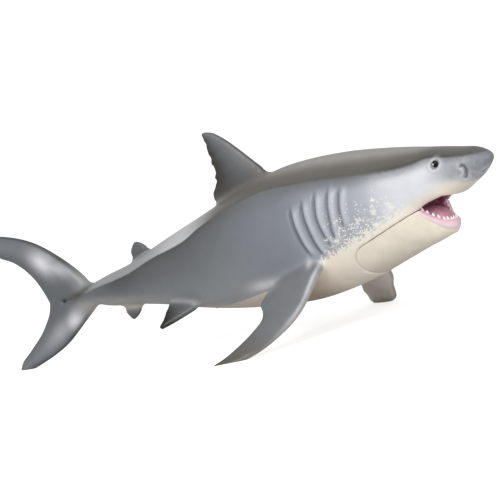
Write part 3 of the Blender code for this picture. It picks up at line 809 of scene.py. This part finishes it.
# Fin paints in order: paint, share, ramp along the span from the root, ramp along the chord from behind
ALL = (-2.0, -1.0)
FIN_PAINTS = {
    # dorsal: its last paint, darker towards the root, is painted shade
    "dorsal": [(DORSAL_FRONT, 0.6, ALL, (0.55, 0.93)), (FIN_BROWN, 0.95, (0.12, 0.3), (0.4, 0.05)),
               (FIN_BROWN, 0.6, (0.05, 0.25), (0.65, 0.25)), (OLIVE_DARK, 0.5, (0.42, 0.1), ALL)],
    # second dorsal: painted shade, darker towards the root
    "second": [(OLIVE_DARK, 0.45, (0.5, 0.15), ALL)],
    "anal": [(BROWN, 0.6, (0.3, 0.9), (0.4, 0.401)), (TAN, 0.6, ALL, (0.25, 0.05))],
    "tail": [(TAIL, 1.0, ALL, ALL)],
    "pectoral": [(NEAR_FIN, 1.0, ALL, ALL), (FIN_END, 1.0, (0.45, 0.9), ALL)],
    "pelvic": [(FIN_BROWN, 0.9, (0.2, 0.75), ALL)],
}

# Dark and brown shares on the fins' edges: share, then the same two ramps
FIN_DARK = {"dorsal": [(0.45, ALL, (0.9, 0.98)), (0.4, ALL, (0.015, 0.0))],
            "tail": [(0.6, ALL, (0.91, 0.98)), (0.45, ALL, (0.04, 0.005))],
            "pectoral": [(0.4, (0.5, 0.7), (0.93, 0.99))]}
FIN_BROWNS = {"pectoral": [(0.8, (0.3, 0.6), (0.18, 0.03)), (0.75, (0.86, 1.0), ALL)]}


def blend(a, b, share):
    return a + (b - a) * np.asarray(share)[:, None]


def patch(x, z, place):
    """Soft oval patch of painted highlight in side view."""
    middle_x, middle_z, turn, long, wide, strength = place
    c, s = math.cos(math.radians(turn)), math.sin(math.radians(turn))
    u = (x - middle_x) * c + (z - middle_z) * s
    v = -(x - middle_x) * s + (z - middle_z) * c
    return strength * np.exp(-((u / long) ** 2 + (v / wide) ** 2))


def flank_paint(x, z, below):
    """Side of the trunk and head, from the edge of the dark back down to the cream."""
    height = read_line(BACK_LINE, x) - read_line(CREAM_LINE, x)
    side = np.tile(GREY, (len(x), 1))
    side = blend(side, GREY_LOW, 0.75 * ramp(0.2, 1.15, below / np.maximum(4.0, height)))
    for colour, share, along_x, down in FLANK_PAINTS:
        side = blend(side, colour, share * ramp(*along_x, x) * ramp(*down, below))
    snout = 0.75 * ramp(72, 84, x) * (1 - 0.5 * ramp(5, 9, below)) + 0.25 * ramp(86, 95, x)
    side = blend(side, SNOUT, snout)
    side = blend(side, SNOUT_LOW, 0.7 * ramp(4.0, 7.5, below) * ramp(83, 88, x))
    shade = np.exp(-below / 6.0) * (0.95 - 0.8 * ramp(-15, 20, x)) * (x < 74) * ramp(-70, -52, x)
    side = blend(side, GREY_DEEP, shade)
    return blend(side, WARM_LOW, 0.85 * ramp(-12, -30, x) * ramp(-4.5, 0.5, read_line(CREAM_LINE, x) - z))


def back_paint(x, above):
    """Dark back of the head and shoulders with a painted highlight along its top, and the silver back behind
    the dorsal fin with a painted highlight on it.
    """
    back = np.tile(OLIVE, (len(x), 1))
    # Painted highlight on the top of the head
    back = blend(back, HEAD_TOP_HIGHLIGHT, ramp(3.0, 12.0, above) * ramp(-10, 40, x))
    darkness = 0.35 + 0.6 * ramp(52, 66, x) * ramp(94, 86, x)
    back = blend(back, OLIVE_DARK, np.exp(-np.maximum(above, 0) / 1.4) * ramp(-12, 10, x) * darkness)
    back = blend(back, SILVER, ramp(-3, -16, x))
    # Painted highlight on the back behind the dorsal fin
    return blend(back, BACK_HIGHLIGHT, 0.9 * bell(x, -23, 11.0))


def edge_share(rows, span, lead):
    """Strongest of the shares listed for a fin's edges."""
    return np.max([share * ramp(*out, span) * ramp(*front, lead) for share, out, front in rows]
                  + [np.zeros(len(span))], axis=0)


def fin_paint(name, span, lead, down, z):
    """Paint of a fin by its span from root to tip and its lead from back to front, and three shares."""
    colour = np.tile(FIN, (len(span), 1))
    for coat, share, out, front in FIN_PAINTS[name]:
        colour = blend(colour, coat, share * ramp(*out, span) * ramp(*front, lead))
    dark = edge_share(FIN_DARK.get(name, []), span, lead)
    brown = edge_share(FIN_BROWNS.get(name, []), span, lead) * ramp(0.4, 0.0, down)
    edge_highlight = np.zeros(len(span))
    if name == "pectoral":
        colour = blend(colour, FIN_WARM, ramp(-0.1, 0.3, down) * (1 - 0.6 * ramp(0.94, 0.99, lead)))
        # Painted highlight along the pectoral's leading edge
        edge_highlight = 0.7 * bell(lead, 0.975, 0.015) * ramp(0.02, 0.12, span) * ramp(0.62, 0.4, span)
        edge_highlight = edge_highlight * (down < 0.25)
    elif name == "pelvic":
        colour = blend(colour, INK, 0.95 * ramp(0.5, 0.95, span + 0.4 * (1 - lead)))
    elif name == "tail":
        # Painted highlight along the middle of each lobe
        colour = blend(colour, TAIL_MIDDLE_HIGHLIGHT, 0.9 * bell(lead, 0.55, 0.3) * ramp(0.35, 0.6, span))
        dark = dark * ramp(3.5, 7.0, np.abs(z))
    return colour, dark, brown, edge_highlight


def body_fields(shape):
    """Paint and distances on every vertex of the body."""
    verts, faces = shape
    normal = normals(verts, faces)
    x, y, z = verts.T
    n = len(verts)
    to_trunk, _ = nearest(trunk, verts, 4.0)
    above = back_height(verts, normal)
    side = flank_paint(x, z, np.maximum(-above, 0))
    back = back_paint(x, above)
    cream = (read_line(CREAM_LINE, x) - z) / np.maximum(0.25, np.sqrt(1.02 - normal[:, 2] ** 2))
    cream = cream - 2.2 * ramp(-12, -30, x)
    dark, brown, pearl, on_fin = np.zeros((4, n))
    for fin, group in FINS.items():
        name = fin.split("_")[0]
        for rings in group:
            distance, face = nearest(skin(rings), verts, 1.6)
            count = rings.shape[1]
            span = np.clip(face // count, 0, len(rings) - 1) / (len(rings) - 1)
            lead = (1 + np.cos(2 * np.pi * (face % count + 1.0) / count)) / 2
            near = (1 - ramp(0.9, 1.5, distance)) * (face >= 0)
            root = 0.9 if name == "second" else 2.6
            share = near * (ramp(-68, -78, x) if name == "tail" else ramp(0.1, root, to_trunk))
            colour, fin_dark, fin_brown, fin_highlight = fin_paint(name, span, lead, -normal[:, 2], z)
            side = blend(side, colour, share)
            back = blend(back, colour, share)
            dark = np.maximum(dark, fin_dark * share)
            brown = np.maximum(brown, fin_brown * share)
            pearl = np.maximum(pearl, fin_highlight * near)
            on_fin = np.maximum(on_fin, share)
    cream = cream * (1 - on_fin) - 4 * on_fin
    # Painted highlights on the tail's lobes
    for place in TAIL_HIGHLIGHTS:
        pearl = np.maximum(pearl, patch(x, z, place) * (x < -68))
    # Painted shade, in brown, above the keel at the tail root
    keel_x, keel_z, slope, wide, strength = KEEL_SHADE
    keel_shade = bell(z, keel_z + slope * (x - keel_x), wide) * ramp(-80, -74, x) * ramp(-64, -70, x)
    brown = np.maximum(brown, strength * keel_shade)

    # Softened across the mesh, before the fine marks
    net = edges_of(faces)
    even = np.full(n, 0.6)
    side = relax(side, net, even, 4)
    back = relax(back, net, even, 4)
    dark, brown, pearl = relax(np.stack([dark, brown, pearl], axis=1), net, even, 3).T

    # Eyes, nostrils and painted highlights on the flank
    eye = np.hypot(x - EYE_X, z - EYE_Z)
    slit = from_path(x, z, NOSTRIL)
    head_side = (np.abs(y) > 3.0) & (to_trunk < 1.2)
    at_nostril = head_side * (x > NOSTRIL_X)
    # Pale ring on the raised rim round each eye, and painted highlight on one side of each nostril's rim
    halo = 0.42 * bell(eye, 1.75, 0.6) * head_side
    nostril_highlight = 0.35 * bell(slit, 0.85, 0.32) * at_nostril * ramp(87.6, 86.8, x + 0.3 * z)
    # Painted highlights on the flank
    lights = [patch(x, z, place) * (np.abs(y) > 9) for place in FLANK_HIGHLIGHTS]
    pearl = np.maximum.reduce([pearl, halo, nostril_highlight] + lights)
    # Painted shade in the crevice round each bead and in each nostril's slit
    socket = 0.6 * bell(eye, 1.1, 0.25) * head_side
    dark = np.maximum.reduce([dark, socket, 0.75 * bell(slit, 0, 0.34) * at_nostril])

    # Mouth: 1 on the wall of the cavity and on the cut walls behind it
    mouth = sum(((part - middle) / size) ** 2 for part, middle, size in zip((x, y, z), PALATE, PALATE_SIZE))
    mouth = np.where(x > CORNER_X - 12, mouth, 9.0)
    within = (x > HEAD_BACK) & (to_trunk > 0.8) & (half_width(TRUNK, x, z) - np.abs(y) > 0.7)
    mouth = np.where(within, 1.0, mouth)
    lip = bell(z - height_on(LIP, x), 0.1, 0.5) * ramp(66.5, 68.5, x) * ramp(77, 71, x)

    # Cream specks and the cream's ragged edge
    splash = np.min([np.hypot(x - sx, z - sz) / radius for sx, sz, radius in SPLASHES], axis=0)
    speck = ramp(35, 44, x) * ramp(69, 60, x) * ramp(5.5, 1.0, z) * ramp(-16, -13, z)
    speck = speck * (0.45 + 0.5 * ramp(1.0, -8.0, z)) * (to_trunk < 1.2)
    between = (0.55 * ramp(14, 6, x) + bell(x, 20, 10.0)) * ramp(-16.5, -20, z)
    blur = 1.0 + 0.7 * ramp(62, 74, x) + ramp(10, -20, x)
    softness = 0.45 + 0.75 * ramp(15, 45, x) - 0.35 * ramp(60, 68, x)
    groove, swell = gill_marks(verts)
    values = {"edge": above / softness, "cream": cream / blur, "pearl": pearl, "dark": dark, "brown": brown,
              "ragged": ramp(28, 38, x) * ramp(68, 60, x), "groove": groove, "swell": swell,
              "mouth": mouth, "splash": splash, "speck": speck, "between": between,
              "lip": lip * (to_trunk < 1.5), "snout": ramp(79, 88, x) * (to_trunk < 1.5)}
    return {"side": side, "back": back}, values


def jaw_fields(shape):
    """Distances on every vertex of the lower jaw."""
    verts, faces = shape
    x, y, z = verts.T
    to_basin, _ = nearest(basin, verts, 3.0)
    gum = gum_band(verts) + 1.6 * ramp(CORNER_X + 0.6, CORNER_X - 1.6, x)
    return {}, {"gum": gum, "wall": to_basin, "low": -z}


class Look:
    """Principled material with helpers that add and link its nodes."""

    def __init__(self, name):
        self.mat = bpy.data.materials.new(name)
        self.mat.use_nodes = True
        self.tree = self.mat.node_tree
        self.shader = self.tree.nodes["Principled BSDF"]
        self.spot = self.place()

    def node(self, kind, values=(), **settings):
        made = self.tree.nodes.new("ShaderNode" + kind)
        for key, value in settings.items():
            setattr(made, key, value)
        for key, value in dict(values).items():
            self.put(made.inputs[key], value)
        return made

    def put(self, socket, value):
        if isinstance(value, bpy.types.NodeSocket):
            self.tree.links.new(value, socket)
        elif isinstance(value, np.ndarray):
            socket.default_value = (*value.tolist(), 1.0)
        else:
            socket.default_value = value

    def place(self):
        """Position in the shark's own frame, in millimetres."""
        c, s = math.cos(NOSE_UP), math.sin(NOSE_UP)
        x, z = -MIDDLE, LIFT
        shift = (-(x * c + z * s), 0.0, x * s - z * c)
        coords = self.node("TexCoord")
        mapping = self.node("Mapping", {"Vector": coords.outputs["Object"], "Location": shift,
                                        "Rotation": (0.0, NOSE_UP, 0.0), "Scale": (1000.0,) * 3})
        return mapping.outputs[0]

    def value(self, name):
        return self.node("Attribute", attribute_name=name).outputs["Fac"]

    def colour(self, name):
        return self.node("Attribute", attribute_name=name).outputs["Color"]

    def noise(self, scale, detail=2.0, rough=0.5):
        return self.node("TexNoise", {"Vector": self.spot, "Scale": scale, "Detail": detail,
                                      "Roughness": rough}).outputs["Fac"]

    def math(self, operation, a, b):
        return self.node("Math", {0: a, 1: b}, operation=operation).outputs[0]

    def range(self, value, low, high, start=0.0, end=1.0):
        return self.node("MapRange", {"Value": value, "From Min": low, "From Max": high,
                                      "To Min": start, "To Max": end},
                         interpolation_type='SMOOTHSTEP').outputs[0]

    def mix(self, share, a, b):
        return self.node("Mix", {0: share, 6: a, 7: b}, data_type='RGBA').outputs[2]

    def times(self, colour, factor):
        return self.node("VectorMath", {0: colour, "Scale": factor}, operation='SCALE').outputs[0]

    def finish(self, colour, roughness, coat=0.0):
        """Last touches: a clear coat, and slight unevenness of the spray, the gloss and the surface."""
        self.put(self.shader.inputs["Coat Weight"], coat)
        self.put(self.shader.inputs["Coat Roughness"], 0.1 if coat > 0.2 else 0.3)
        spray = self.range(self.noise(0.22, 3.0, 0.6), 0.3, 0.7, 0.97, 1.03)
        self.put(self.shader.inputs["Base Color"], self.times(colour, spray))
        self.put(self.shader.inputs["Roughness"],
                 self.range(self.noise(0.5, 2.0), 0.3, 0.7, roughness - 0.04, roughness + 0.05))
        height = self.node("Bump", {"Height": self.noise(2.2, 3.0), "Strength": 0.03, "Distance": 0.0002})
        self.put(self.shader.inputs["Normal"], height.outputs[0])
        return self.mat


def body_look():
    look = Look("shark_skin")
    soft = look.noise(0.9, 3.0)
    uneven = look.range(soft, 0.2, 0.8, -0.15, 0.15)
    edge = look.range(look.math('ADD', look.value("edge"), uneven), -0.7, 0.5)
    colour = look.mix(edge, look.colour("side"), look.colour("back"))
    ragged = look.range(look.noise(1.1, 5.0, 0.75), 0.25, 0.75, -2.8, 2.8)
    cream = look.math('ADD', look.value("cream"), look.math('MULTIPLY', ragged, look.value("ragged")))
    clouds = look.range(look.noise(0.55, 5.0, 0.7), 0.4, 0.7, 0.0, 0.55)
    colour = look.mix(look.math('MULTIPLY', clouds, look.value("snout")), colour, MOTTLE)
    warm = look.mix(look.value("between"), CREAM, TAN)
    colour = look.mix(look.range(cream, -1.5, 1.5), colour, warm)
    # Painted highlight on the gill swells and painted shade in the gill grooves; then painted highlights and
    # pale rings, brown paint with painted shade by the keel, and dark paint with painted shade round the
    # eyes and in the nostrils
    for name, share, over in (("swell", 0.62, GILL_HIGHLIGHT), ("groove", 0.7, GILL_SHADE), ("pearl", 1.0, PALE_AND_HIGHLIGHT),
                              ("brown", 1.0, BROWN), ("dark", 1.0, INK)):
        colour = look.mix(look.math('MULTIPLY', look.value(name), share), colour, over)
    # Cream paint specks and splashes on the cheek
    wander = look.node("TexNoise", {"Vector": look.spot, "Scale": 1.6, "Detail": 3.0})
    moved = look.node("VectorMath", {0: look.spot, 1: wander.outputs["Color"]}, operation='ADD')
    cell = look.node("TexVoronoi", {"Vector": moved.outputs[0], "Scale": 1.5})
    chance = look.node("SeparateColor", {"Color": cell.outputs["Color"]}).outputs[0]
    chosen = look.range(look.math('SUBTRACT', look.value("speck"), chance), 0.0, 0.5, 0.0, 0.44)
    dots = look.range(look.math('SUBTRACT', chosen, cell.outputs["Distance"]), 0.0, 0.07)
    spray = look.range(look.noise(2.6, 4.0, 0.8), 0.25, 0.75, -0.8, 1.0)
    splashes = look.range(look.math('ADD', look.value("splash"), spray), 1.0, 0.75)
    colour = look.mix(look.math('MULTIPLY', look.math('MAXIMUM', dots, splashes), 0.9), colour, SPECK)
    # Mouth: lip and gum edge, then the cavity
    colour = look.mix(look.math('MULTIPLY', look.value("lip"), 0.7), colour, GUM)
    mouth = look.value("mouth")
    colour = look.mix(look.range(mouth, 1.32, 1.18), colour, GUM_ROSE)
    flesh = look.mix(look.range(look.noise(0.35, 2.0), 0.3, 0.7), MAUVE, MAUVE_DEEP)
    colour = look.mix(look.range(mouth, 1.12, 1.05), colour, flesh)
    return look.finish(colour, 0.42, 0.12)


def jaw_look():
    look = Look("jaw_skin")
    soft = look.noise(0.3, 3.0)
    colour = look.mix(look.range(soft, 0.3, 0.7), CREAM, CREAM_DEEP)
    # Painted shade: tan towards the bottom of the jaw
    colour = look.mix(look.range(look.value("low"), 18.5, 23.5, 0.0, 0.5), colour, TAN)
    gum = look.value("gum")
    wobble = look.math('ADD', gum, look.range(look.noise(0.8, 2.0), 0.3, 0.7, -0.12, 0.12))
    colour = look.mix(look.range(wobble, 1.1, 0.75), colour, GUM)
    colour = look.mix(look.range(gum, 0.42, 0.05), colour, GUM_ROSE)
    colour = look.mix(look.range(look.value("wall"), 0.9, 0.35), colour, MAUVE)
    return look.finish(colour, 0.4, 0.12)


def small_look(name, low, high, roughness, scale, coat=0.0):
    """Two close shades in a soft mottle."""
    look = Look(name)
    colour = look.mix(look.range(look.noise(scale, 3.0), 0.3, 0.7), low, high)
    return look.finish(colour, roughness, coat)


def eye_look():
    """Glossy black bead with a painted highlight, a small pale dot towards the tail."""
    look = Look("eye_paint")
    flat = look.node("VectorMath", {0: look.spot, 1: (1.0, 0.0, 1.0)}, operation='MULTIPLY')
    middle = (EYE_X - 0.42, 0.0, EYE_Z + 0.22)
    away = look.node("VectorMath", {0: flat.outputs[0], 1: middle}, operation='DISTANCE')
    black = look.mix(look.range(look.noise(1.0, 3.0), 0.3, 0.7), BEAD, BEAD_LIGHT)
    # Painted highlight: a small pale dot on the bead towards the tail
    colour = look.mix(look.range(away.outputs["Value"], 0.42, 0.22), black, EYE_HIGHLIGHT)
    look.shader.inputs["Specular IOR Level"].default_value = 0.25
    return look.finish(colour, 0.14)


def piece(name, shape, body, mat, replaces=(), fields=None):
    """Finished piece in the standing pose, smooth shaded and riding on its body."""
    verts, faces = shape
    place = np.clip(stand(verts), np.array(cad_low), np.array(cad_high))
    obj = mesh_object(name, (place, faces))
    obj.data.polygons.foreach_set("use_smooth", [True] * len(faces))
    obj.data.materials.append(mat)
    colours, values = fields(shape) if fields else ({}, {})
    for key, value in colours.items():
        layer = obj.data.attributes.new(key, 'FLOAT_COLOR', 'POINT')
        layer.data.foreach_set("color", np.concatenate([value, np.ones((len(value), 1))], axis=1).ravel())
    for key, value in values.items():
        layer = obj.data.attributes.new(key, 'FLOAT', 'POINT')
        layer.data.foreach_set("value", np.asarray(value, float))
    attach(obj, body)
    for node in replaces:
        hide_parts(node)
    return obj


piece("body_skin", body_shape, "body", body_look(), ["body"], body_fields)
piece("jaw_skin", jaw_shape, "lower_jaw", jaw_look(), ["lower_jaw"], jaw_fields)
ivory = small_look("tooth_paint", TOOTH, TOOTH_DEEP, 0.3, 1.5, 0.3)
piece("upper_teeth", upper_teeth(), "body", ivory)
piece("lower_teeth", lower_teeth(), "lower_jaw", ivory)
piece("tongue", tongue(), "lower_jaw", small_look("tongue_paint", TONGUE_DEEP, TONGUE_ROSE, 0.35, 0.6))
piece("eyes", eyes(), "body", eye_look())

# Camera at the photograph's angle: far off, close to level and rolled
AZIMUTH = math.radians(37.0)
ELEVATION = math.radians(0.8)
ROLL = math.radians(18.8)
TARGET = (-3.0, 0.0, -4.0)
DISTANCE = 1100.0
LENS = 250.27

# Floor, world and lamps, in metres and watts; each lamp has its place, width and power
FLOOR_HALF = 6.0
FLOOR_GREY = 0.65
FLOOR_GLOW = 0.72                # seen by the camera only, so that it lights nothing
WORLD_LIGHT = 0.5
LAMP_AIM = (0.0, 0.0, 0.03)
LAMPS = {"key": ((0.25, -1.3, 0.95), 0.9, 12.0), "fill": ((1.3, -0.6, 0.2), 0.8, 4.5)}


def pitched(v):
    """Direction in the shark's own frame, pitched as it stands."""
    c, s = math.cos(NOSE_UP), math.sin(NOSE_UP)
    return Vector((v[0] * c - v[2] * s, v[1], v[0] * s + v[2] * c))


def place_camera():
    turn = Matrix.Rotation(AZIMUTH, 3, 'Z') @ Matrix.Rotation(math.pi / 2 - ELEVATION, 3, 'X')
    right, up, behind = (turn @ Matrix.Rotation(-ROLL, 3, 'Z')).transposed()
    camera = bpy.data.objects.new("camera", bpy.data.cameras.new("camera"))
    bpy.context.scene.collection.objects.link(camera)
    camera.data.sensor_width = 36.0
    camera.data.lens = LENS
    camera.data.clip_start = 0.05
    camera.data.clip_end = 20.0
    place = stand([Vector(TARGET) + DISTANCE * behind])[0]
    axes = Matrix([pitched(right), pitched(up), pitched(behind)]).transposed()
    camera.matrix_world = Matrix.Translation(Vector(place)) @ axes.to_4x4()
    bpy.context.scene.camera = camera


def camera_ray_strength(tree, other, seen):
    """Socket with one value for camera rays and another for all other rays."""
    ray = tree.nodes.new("ShaderNodeLightPath")
    strength = tree.nodes.new("ShaderNodeMapRange")
    strength.inputs["To Min"].default_value = other
    strength.inputs["To Max"].default_value = seen
    tree.links.new(ray.outputs["Is Camera Ray"], strength.inputs["Value"])
    return strength.outputs[0]


def lay_floor():
    corners = [(-1, -1), (1, -1), (1, 1), (-1, 1)]
    verts = np.array([(a * FLOOR_HALF, b * FLOOR_HALF, 0.0) for a, b in corners])
    floor = mesh_object("floor", (verts, [(0, 1, 2, 3)]))
    look = Look("floor")
    glow = look.node("Emission", {"Strength": camera_ray_strength(look.tree, 0.0, FLOOR_GLOW)})
    paper = look.node("BsdfDiffuse", {"Color": np.full(3, FLOOR_GREY)})
    both = look.node("AddShader", {0: paper.outputs[0], 1: glow.outputs[0]})
    look.put(look.tree.nodes["Material Output"].inputs["Surface"], both.outputs[0])
    look.tree.nodes.remove(look.shader)
    floor.data.materials.append(look.mat)


def light_world():
    world = bpy.data.worlds.new("studio")
    bpy.context.scene.world = world
    world.use_nodes = True
    tree = world.node_tree
    background = tree.nodes["Background"]
    background.inputs["Color"].default_value = (1.0, 1.0, 1.0, 1.0)
    tree.links.new(camera_ray_strength(tree, WORLD_LIGHT, 1.0), background.inputs["Strength"])


def lamp(name, place, size, power):
    data = bpy.data.lights.new(name, 'AREA')
    data.shape = 'DISK'
    data.size = size
    data.energy = power
    obj = bpy.data.objects.new(name, data)
    obj.location = place
    obj.rotation_euler = (Vector(LAMP_AIM) - Vector(place)).to_track_quat('-Z', 'Y').to_euler()
    bpy.context.scene.collection.objects.link(obj)


place_camera()
lay_floor()
light_world()
for name, (place, size, power) in LAMPS.items():
    lamp(name, place, size, power)
bpy.context.scene.view_settings.view_transform = 'Standard'
